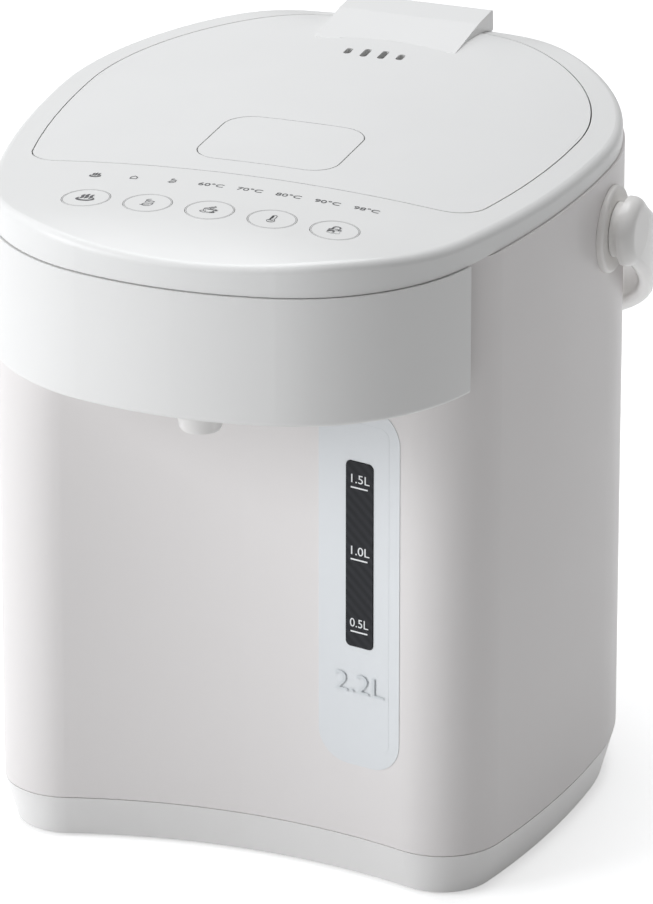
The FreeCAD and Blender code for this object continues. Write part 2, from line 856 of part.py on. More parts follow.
# Water gauge and delivery pipes
def gauge_y():
    """The outer face of the hollow front at the middle of the gauge."""
    return hollow_centre_y + math.sqrt(front_hollow_radius ** 2 - gauge_x ** 2)


def gauge_turn():
    return math.degrees(math.asin(gauge_x / front_hollow_radius))


def on_gauge(shape):
    """Carries a shape drawn about the front face at the origin to the face of the hollow front."""
    shape.rotate(V(0, 0, 0), V(0, 0, 1), -gauge_turn())
    shape.translate(V(gauge_x, gauge_y(), 0))
    return shape


def gauge_slab(width, low, high, radius, near, far):
    """A plate with rounded corners that follows the curve of the hollow front."""
    block = box(-width / 2, width / 2, -12, 12, low, high)
    corners = [e for e in block.Edges if abs(e.tangentAt(e.FirstParameter).y) > 0.99]
    block = on_gauge(block.makeFillet(radius, corners))
    shell = post(0, hollow_centre_y, low - 1, high + 1, front_hollow_radius + far)
    inner = post(0, hollow_centre_y, low - 2, high + 2, front_hollow_radius + near)
    return block.common(shell.cut(inner))


def gauge_hole():
    block = box(-gauge_plate_width / 2 + 4, gauge_plate_width / 2 - 4, -12, 12, gauge_plate_low + 6, gauge_plate_high - 6)
    return on_gauge(block)


def gauge_plate():
    """Bezel let into the front, with a raised back frame that clips through the wall."""
    face = gauge_slab(gauge_plate_width, gauge_plate_low, gauge_plate_high, gauge_plate_radius,
                      -gauge_plate_proud, 0.0)
    frame = gauge_slab(gauge_plate_width - 9, gauge_plate_low + 6.5, gauge_plate_high - 6.5, 4.0, -0.3, wall + 2.4)
    core = gauge_slab(gauge_plate_width - 12, gauge_plate_low + 8, gauge_plate_high - 8, 3.0, 0.9, wall + 3)
    window = gauge_slab(window_width, window_low, window_high, window_radius, -4, 5)
    return union([face, frame]).cut([core, window])


def gauge_window():
    """Smoked window that fills the opening of the bezel."""
    return gauge_slab(window_width - 0.3, window_low + 0.15, window_high - 0.15, window_radius,
                      -gauge_plate_proud - 0.45, 0.9)


def tube_place():
    """The axis of the gauge tube, behind the wall."""
    turn = math.radians(gauge_turn())
    return gauge_x + tube_depth * math.sin(turn), gauge_y() + tube_depth * math.cos(turn)


def gauge_tube():
    """Glass tube in which the water stands."""
    x, y = tube_place()
    return tube(x, y, tube_low, tube_high, tube_radius, tube_radius - tube_wall)


def elbow(end_z, direction, nipple_radius):
    """Rubber socket on one end of the gauge tube, with a nipple that carries on along it."""
    x, y = tube_place()
    outer = tube_radius + 1.8
    points = [(outer, end_z - 7 * direction), (outer, end_z + 6 * direction),
              (nipple_radius, end_z + 6 * direction),
              (nipple_radius, end_z + (6 + elbow_length) * direction),
              (nipple_radius - 1.2, end_z + (6 + elbow_length) * direction),
              (nipple_radius - 1.2, end_z), (tube_radius, end_z), (tube_radius, end_z - 7 * direction)]
    return revolved(points, x, y)


def gauge_elbows():
    return Part.makeCompound([elbow(tube_low, -1, drain_radius), elbow(tube_high, 1, pipe_bore)])


def outlet_hose():
    """Hose from the outlet of the pump to the lower end of the gauge."""
    x, y = tube_place()
    z = pump_outlet_z()
    start_x = pump_x + outlet_shift
    lane = -front_depth + wall + drain_radius + hose_wall + 1.2
    end = V(x, y, tube_low - 8)
    points = [V(start_x, pump_y - outlet_run + 8, z), V(start_x, lane, z), V(x, y, z), end]
    return hose(points, [12, 12], drain_radius + hose_wall, drain_radius)


def outlet_pipe():
    """Pipe from the upper end of the gauge, through the front wall, to the nozzle."""
    x, y = tube_place()
    lane = -front_depth + wall + pipe_radius + 0.8
    points = [V(x, y, tube_high + 8), V(x, y, pipe_z), V(0, lane, pipe_z), V(0, spout_y, pipe_z),
              V(0, spout_y, cover_bottom + cover_wall + 3)]
    return hose(points, [12, 14, 8], pipe_radius, pipe_bore)


# Lid
def plate_place():
    """The release plate's outline in plan."""
    half = plate_width / 2
    return -half, half, plate_rear_y - plate_depth, plate_rear_y


def tray_floor():
    return crown_top - 7.6


def lid_cover():
    """Crowned cap with a skirt, a tray for the release plate, steam slots and the hinge hood."""
    step_z = crown_top - 6.5
    low = liner_top()
    cap = prism(lid_wire(lid_gap), step_z, crown_top + 10).common(crown_space())
    skirt = prism(lid_wire(lid_gap + 0.8), low, step_z + 0.5)
    hollow = prism(lid_wire(lid_gap + 0.8 + lid_skin), low - 1, crown_top + 10).common(crown_space(lid_skin))
    x0, x1, y0, y1 = plate_place()
    g = plate_gap
    tray = round_box(x0 - g - 1.6, x1 + g + 1.6, y0 - g - 1.6, y1 + g + 1.6, tray_floor() - 1.6, crown_top,
                     plate_corner_radius + g + 1.6).common(crown_space(0.4))
    pit = round_box(x0 - g, x1 + g, y0 - g, y1 + g, tray_floor(), crown_top + 5, plate_corner_radius + g)
    shell = cap.fuse(skirt).cut(hollow)
    half = hood_width / 2 - hood_wall
    lug_room = box(-half, half, liner_rear_y, hinge_y + 20, low - 1, crown_top - lid_skin)
    shell = shell.cut(lug_room).fuse([tray, hinge_hood()] + lid_bosses())
    cam_slot = box(-cam_half - 0.5, cam_half + 0.5, cam_y - 3, cam_y + 3.5, tray_floor() - 3, tray_floor() + 1)
    slots = []
    for i in range(4):
        x = (i - 1.5) * slot_pitch
        length = slot_length if i in (1, 2) else slot_length - 2.5
        slots.append(round_box(x - slot_width / 2, x + slot_width / 2, slot_y - length / 2, slot_y + length / 2,
                               crown_top - 6, crown_top + 5, slot_width / 2 - 0.05))
    pin_hole = bar_x(x0 - g - 1.2, x1 + g + 1.2, release_pin_y(), release_pin_z(), release_pin_radius)
    half = latch_width / 2 + clearance
    latch_slot = box(-half, half, lid_front_y - 1, lid_front_y + 8,
                     latch_z - clearance, latch_z + latch_height + clearance)
    return shell.cut([pit, cam_slot, pin_hole, latch_slot] + slots).removeSplitter()


def hinge_hood():
    """Hood at the rear of the lid over the hinge, with a barrel for the pin."""
    half = hood_width / 2
    low = hinge_z - 1.5
    start = rear_roll_start - 6
    points = [V(-half, start, crown_top - 3), V(-half, start, crown_top - 0.35),
              V(-half, hinge_y - 8, hood_top - 0.4), V(-half, hood_rear_y, hood_top), V(-half, hood_rear_y, low),
              V(-half, hinge_y - 6, low), V(-half, hinge_y - 16, crown_top - 8)]
    hood = Part.Face(Part.makePolygon(points + points[:1])).extrude(V(hood_width, 0, 0))
    crest = [e for e in hood.Edges if e.BoundBox.YMin > hood_rear_y - 0.01 and e.BoundBox.ZMin > hood_top - 0.01]
    hood = hood.makeFillet(2.0, crest)
    side = half - hood_wall
    inside = [V(-side, start + 10, 200), V(-side, start + 10, crown_top - lid_skin - 0.6),
              V(-side, hinge_y - 8, hood_top - lid_skin - 0.4),
              V(-side, hood_rear_y - hood_wall, hood_top - hood_wall),
              V(-side, hood_rear_y - hood_wall, 200)]
    room = Part.Face(Part.makePolygon(inside + inside[:1])).extrude(V(2 * side, 0, 0))
    inner, outer = lug_xs()
    reach = inner - clearance
    barrel = bar_x(-reach, reach, hinge_y, hinge_z, lug_radius)
    web = box(-reach, reach, hinge_y - 3, hinge_y + 3, hinge_z, hood_top - hood_wall + 0.5)
    bore = bar_x(-reach - 1, reach + 1, hinge_y, hinge_z, hinge_pin_radius + running_fit)
    return union([hood.cut(room), barrel, web]).cut(bore)


def liner_top():
    return well_floor_top + 4.4


def lid_liner():
    """Inner lid: a plate under the cap and a shallow plug that enters the mouth of the pot."""
    top = liner_top()
    low = top - 2.2
    rear_gap = box(-hood_width / 2, hood_width / 2, liner_rear_y - 2, 200, 0, 400)
    plate = prism(lid_wire(lid_gap + 1.4), low, top).cut(rear_gap)
    plug_low = pot_rim_z - 4
    radius = mouth_radius - 2.2
    plug = revolved([(0, plug_low), (radius - 4, plug_low), (radius, plug_low + 4), (radius, low + 1),
                     (radius - 2, low + 1), (radius - 2, plug_low + 5), (radius - 5, plug_low + 2),
                     (0, plug_low + 2)])
    liner = union([plate, plug] + latch_guides())
    seat = post(0, slot_y, plug_low + 2, top + 5, duct_radius + clearance)
    hole = post(0, slot_y, plug_low - 1, plug_low + 3, duct_bore)
    screw_holes = [post(x, y, low - 1, top + 1, screw_radius) for x, y in lid_screw_places()]
    return liner.cut([seat, hole] + screw_holes)


def latch_guides():
    """Rails and a stop on the inner lid that the latch slides between."""
    half = latch_width / 2
    low = liner_top() - 0.5
    high = latch_z + latch_height
    pieces = []
    for side in (-1, 1):
        x0, x1 = sorted((side * (half + 0.15), side * (half + 2.2)))
        pieces.append(box(x0, x1, lid_front_y + 6, cam_y + 14, low, high))
    floor = box(-half - 1, half + 1, lid_front_y + 6, cam_y + 14, low, latch_z - 0.1)
    pieces.append(floor.cut(box(-cam_half - 1, cam_half + 1, cam_y - 5, cam_y + 5, low + 0.5, latch_z)))
    pieces.append(box(-half, half, spring_end(), spring_end() + 2, low, high))
    return pieces


def lid_gasket():
    """Silicone lip ring under the inner lid, round its plug."""
    high = liner_top() - 2.2
    radius = mouth_radius - 2.2
    return revolved([(radius + 0.1, high), (radius + 8, high), (radius + 8, high - 1.0),
                     (radius + 4.5, well_floor_top + 0.2), (radius + 3, well_floor_top + 0.2),
                     (radius + 3, high - 1.0), (radius + 0.1, high - 1.0)])


def steam_duct():
    """Chimney from the inner lid to the steam slots, with a seat for the tip-over ball."""
    low = pot_rim_z - 2
    high = crown_top - lid_skin - 1.5
    inner = duct_radius - 1.4
    cage = ball_radius + 1.2
    return revolved([(duct_bore, low), (duct_radius, low), (duct_radius, high), (inner, high), (inner, low + 5),
                     (cage + 1.2, low + 5), (cage + 1.2, low + 13), (cage, low + 13), (cage, low + 3),
                     (duct_bore, low + 1)], 0, slot_y)


def valve_ball():
    """Steel ball that rolls shut when the pot tips over."""
    seat_slope = math.atan2(2, ball_radius + 1.2 - duct_bore)
    seat_z = pot_rim_z - 1
    centre = seat_z + ball_radius / math.cos(seat_slope) - duct_bore * math.tan(seat_slope) + 0.05
    return Part.makeSphere(ball_radius, V(0, slot_y, centre))


def release_pin_y():
    return plate_rear_y - 3.5


def release_pin_z():
    return crown_top - plate_thickness - 2.2


def release_plate():
    """Push plate flush with the lid: it rocks on a pin at its rear and carries a cam leg."""
    x0, x1, y0, y1 = plate_place()
    under = crown_top - plate_thickness
    plate = round_box(x0, x1, y0, y1, under - 1.0, crown_top + 5, plate_corner_radius).common(crown_space())
    under_cut = round_box(x0 + 1.8, x1 - 1.8, y0 + 1.8, y1 - 1.8, under - 5, under, plate_corner_radius - 1.8)
    ears = []
    for side in (-1, 1):
        x = side * (plate_width / 2 - 9)
        ears.append(bar_x(x - 2, x + 2, release_pin_y(), release_pin_z(), 2.2))
        ears.append(box(x - 2, x + 2, release_pin_y() - 2.2, release_pin_y() + 2.2, release_pin_z(), under + 0.5))
    foot = latch_z + latch_height * 0.5
    leg = box(-cam_half, cam_half, cam_y - 2, cam_y + 2, foot, under + 0.5)
    wedge = [V(-cam_half - 1, cam_y - 2, foot - 1), V(-cam_half - 1, cam_y + 3, foot - 1),
             V(-cam_half - 1, cam_y + 3, foot + 4)]
    slope = Part.Face(Part.makePolygon(wedge + wedge[:1])).extrude(V(2 * cam_half + 2, 0, 0))
    bore = bar_x(x0, x1, release_pin_y(), release_pin_z(), release_pin_radius + running_fit)
    return union([plate.cut(under_cut), leg.cut(slope)] + ears).cut(bore)


def release_pin():
    x0, x1, y0, y1 = plate_place()
    reach = x1 + plate_gap + 1.2
    return bar_x(-reach, reach, release_pin_y(), release_pin_z(), release_pin_radius)


def latch_slide():
    """Sliding bolt with a sloped nose and a window that the cam leg enters."""
    half = latch_width / 2
    nose = lid_front_y - latch_nose
    bar = box(-half, half, nose, latch_rear(), latch_z, latch_z + latch_height)
    slope = [V(-half - 1, nose - 1, latch_z - 1), V(-half - 1, nose + 1.6, latch_z - 1),
             V(-half - 1, nose - 1, latch_z + 1.6)]
    ramp = Part.Face(Part.makePolygon(slope + slope[:1])).extrude(V(latch_width + 2, 0, 0))
    window = box(-cam_half - 0.6, cam_half + 0.6, cam_y - 5.2, cam_y + 0.8, latch_z - 1, latch_z + latch_height + 1)
    notch = box(-1.8, 1.8, latch_rear() - latch_notch, latch_rear() + 1, latch_z - 1, latch_z + latch_height + 1)
    return bar.cut([ramp, window, notch])


def latch_rear():
    return cam_y + 10


def spring_end():
    return latch_rear() + 8


def latch_spring():
    """Return spring between the notch of the latch and its stop."""
    z = latch_z + latch_height / 2
    start = latch_rear() - 0.3
    length = spring_end() - 0.1 - start
    body = Part.makeCylinder(1.4, length, V(0, start, z), V(0, 1, 0))
    return body.cut(Part.makeCylinder(1.0, length + 2, V(0, start - 1, z), V(0, 1, 0)))


def release_spring():
    """Return springs under the front of the release plate."""
    high = crown_top - plate_thickness - 0.4
    return Part.makeCompound([tube(side * 14, cam_y, tray_floor(), high, 1.8, 1.3) for side in (-1, 1)])


def lid_screw_places():
    return [(side * 60, y) for y in (-64, 56) for side in (-1, 1)]


def lid_screws():
    """Screws that hold the inner lid to the cap."""
    low = liner_top() - 2.2
    return Part.makeCompound([screw(x, y, low, 7) for x, y in lid_screw_places()])


def lid_bosses():
    bosses = []
    for x, y in lid_screw_places():
        boss = post(x, y, liner_top(), crown_top, 3.6).common(crown_space(lid_skin - 0.5))
        bosses.append(boss.cut(post(x, y, liner_top() - 1, liner_top() + 8, screw_radius)))
    return bosses


# Handle
def handle_flanges():
    """Round seats on the wall that the handle turns against."""
    pieces = []
    for side in (-1, 1):
        x0, x1 = sorted((side * (half_width - 6), side * (half_width + flange_thickness)))
        disc = bar_x(x0, x1, 0, pivot_z, flange_radius)
        edge = [e for e in disc.Edges if abs(e.BoundBox.Center.x) > half_width + flange_thickness - 0.1 and e.BoundBox.XLength < 0.01]
        disc = disc.makeFillet(1.2, edge).cut(prism(body_wire(-0.05), 0, 300))
        pieces.append(disc.cut(bar_x(x0 - 1, x1 + 1, 0, pivot_z, pivot_radius + clearance)))
    return Part.makeCompound(pieces)


def arm_face():
    """Distance of the inner face of the handle's arms from the middle."""
    return half_width + flange_thickness + 0.2 + neck_length


def handle_pins():
    """Pivot pins with a head inside the wall, fixed to it."""
    pieces = []
    for side in (-1, 1):
        head = sorted((side * (half_width - wall - 3.4), side * (half_width - wall - 1.2)))
        shank = sorted((side * (half_width - wall - 1.4), side * (arm_face() + arm_thickness - 3)))
        pieces.append(union([bar_x(head[0], head[1], 0, pivot_z, pivot_radius + 3),
                             bar_x(shank[0], shank[1], 0, pivot_z, pivot_radius)]))
    return Part.makeCompound(pieces)


def handle():
    """Bail in one moulding: domed ends with necks, arms that follow the round body, and a grip."""
    inner_a = arm_face()
    outer_a = inner_a + arm_thickness
    inner_b = bail_reach - grip_depth
    half = arm_width / 2

    def half_disc(a, b):
        ellipse = Part.Ellipse(V(0, b, 0), V(a, 0, 0), V(0, 0, 0))
        edge = Part.ArcOfEllipse(ellipse, -math.pi / 2, math.pi / 2).toShape()
        ends = [v.Point for v in edge.Vertexes]
        chord = Part.LineSegment(ends[1], ends[0]).toShape()
        face = Part.Face(Part.Wire([edge, chord]))
        face.translate(V(0, 0, -half))
        return face.extrude(V(0, 0, arm_width))

    bail = half_disc(outer_a, bail_reach).cut(half_disc(inner_a, inner_b).fuse(
        box(-inner_a, inner_a, -1, 1, -half - 1, half + 1)))
    long_edges = [e for e in bail.Edges if e.BoundBox.XLength > inner_a]
    bail = bail.makeFillet(2.6, long_edges)
    ends = []
    for side in (-1, 1):
        x0, x1 = sorted((side * inner_a, side * outer_a))
        boss = bar_x(x0, x1, 0, 0, boss_radius)
        rim = [e for e in boss.Edges if abs(abs(e.BoundBox.Center.x) - outer_a) < 0.01 and e.BoundBox.XLength < 0.01]
        boss = boss.makeFillet(arm_thickness - 1.2, rim)
        n0, n1 = sorted((side * (inner_a - neck_length), side * (inner_a + 1)))
        ends += [boss, bar_x(n0, n1, 0, 0, neck_radius)]
    bail = union([bail] + ends)
    reach = outer_a - 3 + 0.3
    bore = [bar_x(-reach, -inner_a + neck_length + 1, 0, 0, pivot_radius + running_fit),
            bar_x(inner_a - neck_length - 1, reach, 0, 0, pivot_radius + running_fit)]
    bail = bail.cut(bore)
    bail.rotate(V(0, 0, 0), V(1, 0, 0), -bail_drop)
    bail.translate(V(0, 0, pivot_z))
    return bail


# Electrical pieces
def deck_post_places():
    front = [(side * (board_half - 16), board_front_y + 5) for side in (-1, 1)]
    return front + [(side * 35, board_back_y - 4.5) for side in (-1, 1)]


def deck_posts():
    """Posts under the deck that carry the control board."""
    low = board_z + board_thickness
    posts = [post(x, y, low, crown_top, 3.0).common(crown_space(ring_skin - 0.5)) for x, y in deck_post_places()]
    return [p.cut(post(x, y, low - 1, low + 7, screw_radius)) for p, (x, y) in zip(posts, deck_post_places())]


def control_board():
    plate = box(-board_half, board_half, board_front_y, board_back_y, board_z, board_z + board_thickness)
    return plate.cut([post(x, y, board_z - 1, board_z + 3, screw_radius) for x, y in deck_post_places()])


def board_screws():
    return Part.makeCompound([screw(x, y, board_z, 6) for x, y in deck_post_places()])


def key_switches():
    """Five tact switches on the board, under the stems of the keys."""
    low = board_z + board_thickness
    switches = []
    for x in key_xs():
        body = box(x - 3, x + 3, key_row_y - 3, key_row_y + 3, low, low + 3.4)
        switches.append(body.fuse(post(x, key_row_y, low + 3, switch_top(), 1.7)))
    return Part.makeCompound(switches)


def light_guide():
    """Clear bar with eight light pillars under the indicator row."""
    low = board_z + board_thickness
    y = -104.3
    bar = box(-52, 52, y - 1.8, y + 1.6, low + 4, low + 6)
    feet = [box(x - 2, x + 2, board_back_y - 3.5, y, low, low + 5) for x in (-48, 48)]
    pillars = []
    for i in range(8):
        x = (i - 3.5) * 14.3
        pillars.append(post(x, y, low + 5, crown_z(abs(x) + 1.4, y) - ring_skin - 0.3, 1.4))
    return union([bar] + feet + pillars)


def board_posts():
    high = pan_low() + pan_thickness
    return [post(side * 38, y, high, power_board_z, 3.0) for y in (36, 74) for side in (-1, 1)]


def power_board():
    """Power board over the bottom cover, with its transformer, relay and capacitor."""
    low = power_board_z
    plate = box(-42, 42, 32, 78, low, low + board_thickness)
    top = low + board_thickness
    parts = [plate, box(8, 34, 38, 60, top, top + 20), box(-30, -11, 40, 56, top, top + 16),
             post(-8, 68, top, top + 18, 6), box(14, 30, 64, 74, top, top + 10)]
    return union(parts)


def inlet_block(gap=0.0):
    half = inlet_width / 2 + gap
    high = inlet_height / 2 + gap
    return box(-half, half, rear_depth - inlet_depth - gap, rear_depth + 6, inlet_z - high, inlet_z + high)


def inlet_socket():
    """Recessed magnetic power inlet in the rear of the wall."""
    block = inlet_block().common(prism(body_wire(0), 0, 200))
    y0 = rear_depth - inlet_depth
    recess = round_box(-inlet_width / 2 + 2.4, inlet_width / 2 - 2.4, y0 + 2.2, rear_depth + 8,
                       inlet_z - inlet_height / 2 + 2.4, inlet_z + inlet_height / 2 - 2.4, 1.0)
    collar = round_box(-inlet_width / 2 - 4, inlet_width / 2 + 4, rear_depth - 20, rear_depth - wall - clearance - 1.0,
                       inlet_z - inlet_height / 2 - 4, inlet_z + inlet_height / 2 + 4, 1.0)
    collar = collar.common(prism(body_wire(wall + clearance), 0, 200)).cut(prism(body_wire(wall + clearance + 2), 0, 200))
    return union([block, collar]).cut([recess] + contact_bars(0.0))


def contact_bars(gap):
    y0 = rear_depth - inlet_depth
    return [Part.makeCylinder(2.0 + gap, 12, V(side * 9, y0 - 5, inlet_z), V(0, 1, 0)) for side in (-1, 1)]


def inlet_contacts():
    """Two contact pins in the floor of the power inlet."""
    return Part.makeCompound(contact_bars(0.0))


# Key pieces are named from the user's left
PIECES = {
    "body_shell": body_shell, "base_ring": base_ring, "base_pan": base_pan, "rubber_feet": rubber_feet,
    "base_screws": base_screws, "top_ring": top_ring, "front_cover": front_cover, "spout_nozzle": spout_nozzle,
    "lid_hinge_pin": lid_hinge_pin, "inner_pot": inner_pot, "pot_seal": pot_seal, "heat_shield": heat_shield,
    "heater_plate": heater_plate, "heater_support": heater_support, "band_heater": band_heater,
    "thermostat": thermostat, "thermistor": thermistor, "pump_housing": pump_housing, "pump_cover": pump_cover,
    "pump_bracket": pump_bracket, "pump_screws": pump_screws, "impeller": impeller, "motor_rotor": motor_rotor, "motor": motor,
    "suction_hose": suction_hose, "gauge_plate": gauge_plate, "gauge_window": gauge_window,
    "gauge_tube": gauge_tube, "gauge_elbows": gauge_elbows, "outlet_hose": outlet_hose,
    "outlet_pipe": outlet_pipe, "lid_cover": lid_cover, "lid_liner": lid_liner, "lid_gasket": lid_gasket,
    "steam_duct": steam_duct, "valve_ball": valve_ball, "release_plate": release_plate,
    "release_pin": release_pin, "release_spring": release_spring, "latch_slide": latch_slide,
    "latch_spring": latch_spring, "lid_screws": lid_screws, "handle": handle, "handle_flanges": handle_flanges,
    "handle_pins": handle_pins, "control_board": control_board, "board_screws": board_screws,
    "key_switches": key_switches, "light_guide": light_guide, "power_board": power_board,
    "inlet_socket": inlet_socket, "inlet_contacts": inlet_contacts,
}

# The part's origin is the middle of its footprint, so every piece moves along Y by half the difference
rear_reach = handle().optimalBoundingBox(True, False).YMax
shift = V(0, (cover_reach - rear_reach) / 2, 0)


def write(name, shape):
    if len(shape.Solids) == 1:
        shape = shape.Solids[0]
    shape = shape.copy()
    shape.translate(shift)
    shape.exportStep("parts/" + name + ".step")
    box_ = shape.BoundBox
    print("%-16s solids %2d valid %s volume %9.0f z %6.1f to %6.1f" % (
        name, len(shape.Solids), shape.isValid(), shape.Volume, box_.ZMin, box_.ZMax))


for name, make in PIECES.items():
    write(name, make())
for number, x in enumerate(key_xs(), 1):
    write("key_%d" % number, key_cap_at(x))
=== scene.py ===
import bpy
import json
import math
from mathutils import Matrix, Vector

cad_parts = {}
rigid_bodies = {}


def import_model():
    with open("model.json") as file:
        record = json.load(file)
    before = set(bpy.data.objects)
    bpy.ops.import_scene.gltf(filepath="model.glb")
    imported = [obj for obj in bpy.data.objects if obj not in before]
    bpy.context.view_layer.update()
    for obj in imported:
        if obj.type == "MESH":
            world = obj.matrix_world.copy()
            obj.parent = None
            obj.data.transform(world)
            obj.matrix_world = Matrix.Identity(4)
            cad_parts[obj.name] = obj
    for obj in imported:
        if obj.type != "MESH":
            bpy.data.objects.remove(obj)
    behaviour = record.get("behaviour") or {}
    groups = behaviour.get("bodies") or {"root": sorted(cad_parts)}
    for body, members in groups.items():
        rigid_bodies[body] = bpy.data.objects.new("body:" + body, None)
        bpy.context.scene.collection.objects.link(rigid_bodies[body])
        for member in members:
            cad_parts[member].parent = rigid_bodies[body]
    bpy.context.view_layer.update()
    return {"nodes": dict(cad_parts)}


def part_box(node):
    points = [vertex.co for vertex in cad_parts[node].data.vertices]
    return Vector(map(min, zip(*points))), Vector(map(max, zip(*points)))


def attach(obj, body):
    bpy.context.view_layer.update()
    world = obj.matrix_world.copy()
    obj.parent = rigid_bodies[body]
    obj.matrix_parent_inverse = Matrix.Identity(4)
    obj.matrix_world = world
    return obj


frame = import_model()
nodes = frame["nodes"]
for item in bpy.data.objects:
    item.select_set(False)

# The view: a long lens from the front right and a little above, in metres about the pot's
# footprint. The camera stands where the photograph's perspective puts it.
azimuth = math.radians(20.02)
elevation = math.radians(22.81)
distance = 2.799
aside = -0.01422
above = -0.0309
right = Vector((math.cos(azimuth), math.sin(azimuth), 0))
back = Vector((math.sin(azimuth) * math.cos(elevation), -math.cos(azimuth) * math.cos(elevation),
               math.sin(elevation)))
up = back.cross(right)
pot_axis_y = 0.01632
aim = Vector((0, pot_axis_y + 0.03524, 0.140))
bpy.ops.object.camera_add(location=aim + right * aside + up * above + back * distance)
camera = bpy.context.object
camera.name = "view_camera"
camera.matrix_world = Matrix.Translation(camera.location) @ Matrix((right, up, back)).transposed().to_4x4()
camera.data.sensor_width = 36
camera.data.lens = 303.5
camera.data.clip_end = 50
bpy.context.scene.camera = camera
bpy.context.scene.view_settings.view_transform = "Standard"


# Maths on the varying values of a finish, so that a pattern reads as plain arithmetic. A finish is
# one Principled surface; its patterns read object coordinates in metres.
class Amount:
    def __init__(self, finish, socket):
        self.finish = finish
        self.socket = socket

    def maths(self, operation, other=None, swapped=False):
        pair = [self] if other is None else ([other, self] if swapped else [self, other])
        return self.finish.node("ShaderNodeMath", {"operation": operation}, dict(enumerate(pair)))

    def __add__(self, other):
        return self.maths("ADD", other)

    def __sub__(self, other):
        return self.maths("SUBTRACT", other)

    def __rsub__(self, other):
        return self.maths("SUBTRACT", other, True)

    def __mul__(self, other):
        return self.maths("MULTIPLY", other)

    def __lt__(self, other):
        return self.maths("LESS_THAN", other)

    def __abs__(self):
        return self.maths("ABSOLUTE")

    def __pow__(self, other):
        return self.maths("POWER", other)

    __radd__ = __add__
    __rmul__ = __mul__


class Finish:
    def __init__(self, name, colour, roughness, metallic=0.0, coat=0.0, alpha=1.0, ior=1.46):
        self.material = bpy.data.materials.new(name)
        self.material.use_nodes = True
        self.tree = self.material.node_tree
        self.surface = self.tree.nodes["Principled BSDF"]
        self.colour = (*colour, 1)
        self.set("Base Color", self.colour)
        self.set("Roughness", roughness)
        self.set("Metallic", metallic)
        self.set("Coat Weight", coat)
        self.set("Alpha", alpha)
        self.set("IOR", ior)
        self.surface.inputs["Coat Roughness"].default_value = 0.06
        self.place = self.node("ShaderNodeTexCoord", {}, {}, "Object")

    def set(self, name, value):
        if isinstance(value, Amount):
            self.tree.links.new(value.socket, self.surface.inputs[name])
        else:
            self.surface.inputs[name].default_value = value

    def node(self, kind, settings, inputs, output=0):
        made = self.tree.nodes.new(kind)
        for key, value in settings.items():
            setattr(made, key, value)
        for key, value in inputs.items():
            if isinstance(value, Amount):
                self.tree.links.new(value.socket, made.inputs[key])
            else:
                made.inputs[key].default_value = value
        return Amount(self, made.outputs[output])

    def noise(self, scale, detail=2.0, rough=0.5, place=None):
        return self.node("ShaderNodeTexNoise", {}, {"Vector": place or self.place, "Scale": scale,
                                                    "Detail": detail, "Roughness": rough}, "Fac")

    def stretched(self, x, y, z):
        return self.node("ShaderNodeMapping", {}, {"Vector": self.place, "Scale": (x, y, z)})

    def xyz(self, axis):
        return self.node("ShaderNodeSeparateXYZ", {}, {"Vector": self.place}, axis)

    def mix(self, colour_a, colour_b, factor):
        return self.node("ShaderNodeMix", {"data_type": "RGBA"},
                         {"Factor": factor, 6: colour_a, 7: colour_b}, 2)

    def bump(self, height, distance, strength=1.0):
        self.set("Normal", self.node("ShaderNodeBump", {}, {"Height": height, "Distance": distance,
                                                             "Strength": strength}))

    def on(self, *names):
        for name in names:
            target = nodes[name] if isinstance(name, str) else name
            target.data.materials.clear()
            target.data.materials.append(self.material)


def moulded(name, colour, roughness, grain=2600.0, depth=0.00003, coat=0.0):
    """Injection-moulded plastic: fine spark-eroded grain, faint flow clouds, a few polished spots."""
    finish = Finish(name, colour, roughness, coat=coat)
    cloud = finish.noise(18.0, 3.0)
    shade = tuple(channel * 0.965 for channel in colour)
    finish.set("Base Color", finish.mix((*shade, 1), finish.colour, cloud))
    finish.set("Roughness", roughness - 0.04 + 0.08 * finish.noise(60.0, 4.0))
    finish.bump(finish.noise(grain, 2.0), depth, 0.35)
    return finish


# Body: a bent sheet-steel wall, primed and sprayed in a soft warm white. The spray leaves a fine
# orange peel and the paint a low satin sheen.
paint = Finish("sprayed_white_paint", (0.812, 0.785, 0.775), 0.42, coat=0.08)
peel = paint.noise(900.0, 2.0)
tone = paint.noise(9.0, 3.0)
thin_coat = (0.795, 0.768, 0.758, 1)
full_coat = (0.825, 0.798, 0.790, 1)
paint.set("Base Color", paint.mix(thin_coat, full_coat, tone))
paint.set("Roughness", 0.38 + 0.08 * paint.noise(45.0, 3.0))
paint.bump(peel, 0.00004, 0.3)
paint.on("body_shell")

# Base skirt and bottom cover: moulded in the same white as the top, the cover a shade greyer.
# The feet are soft rubber pads.
skirt_plastic = moulded("skirt_white_plastic", (0.88, 0.87, 0.86), 0.34)
skirt_plastic.on("base_ring")
pan_plastic = moulded("bottom_cover_plastic", (0.62, 0.615, 0.60), 0.5, grain=1500.0)
pan_plastic.on("base_pan")
foot_rubber = moulded("foot_rubber", (0.16, 0.16, 0.16), 0.75, grain=1800.0)
foot_rubber.on("rubber_feet")

# Top rim, key deck and spout housing: gloss-grained white plastic with a soft sheen.
deck_plastic = moulded("deck_white_plastic", (0.850, 0.848, 0.838), 0.33)
deck_plastic.on("top_ring")
housing_plastic = moulded("housing_white_plastic", (0.842, 0.838, 0.828), 0.36)
housing_plastic.on("front_cover")

# Lid: the same white in a slightly drier grain, with the release plate set flush in it.
lid_plastic = moulded("lid_white_plastic", (0.846, 0.844, 0.836), 0.37)
lid_plastic.on("lid_cover", "release_plate")

